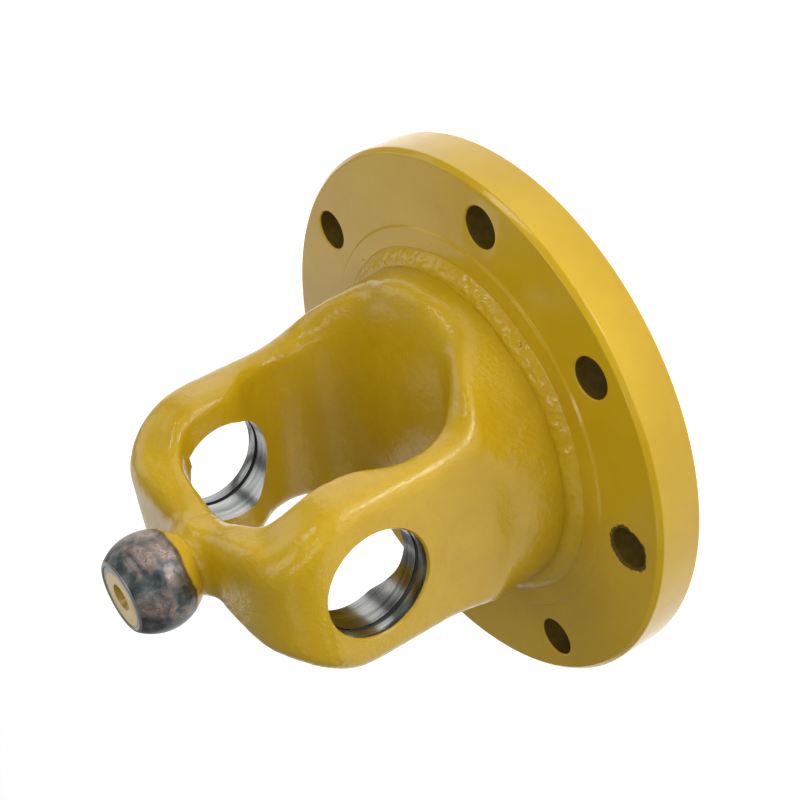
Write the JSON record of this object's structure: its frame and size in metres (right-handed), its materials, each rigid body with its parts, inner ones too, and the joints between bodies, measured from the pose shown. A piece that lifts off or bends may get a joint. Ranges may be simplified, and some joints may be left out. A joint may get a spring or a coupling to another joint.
{
  "type": "flange yoke with ball stud",
  "caption": "Flange yoke for a wide-angle drive shaft joint: a bolt-on disc carries bored ears that are bridged over the top, and the bridge ends in a centring ball.",
  "frame": {"origin": "centre of the flange's flat mounting face", "axes": "+Z out of the flange towards the ball, along the flange and ball axis; +X along the common axis of the bearing bores"},
  "size_m": [0.1924, 0.1924, 0.1492],
  "materials": {
    "painted_flange": "glossy yellow enamel over turned steel",
    "painted_forging": "glossy yellow enamel over forged steel, bright bores, bare dark hardened ball",
    "painted_weld": "glossy yellow enamel over a rippled weld"
  },
  "bodies": {
    "root": {"flange_plate": "painted_flange", "ball_yoke": "painted_forging", "weld_bead": "painted_weld"}
  },
  "joints": []
}
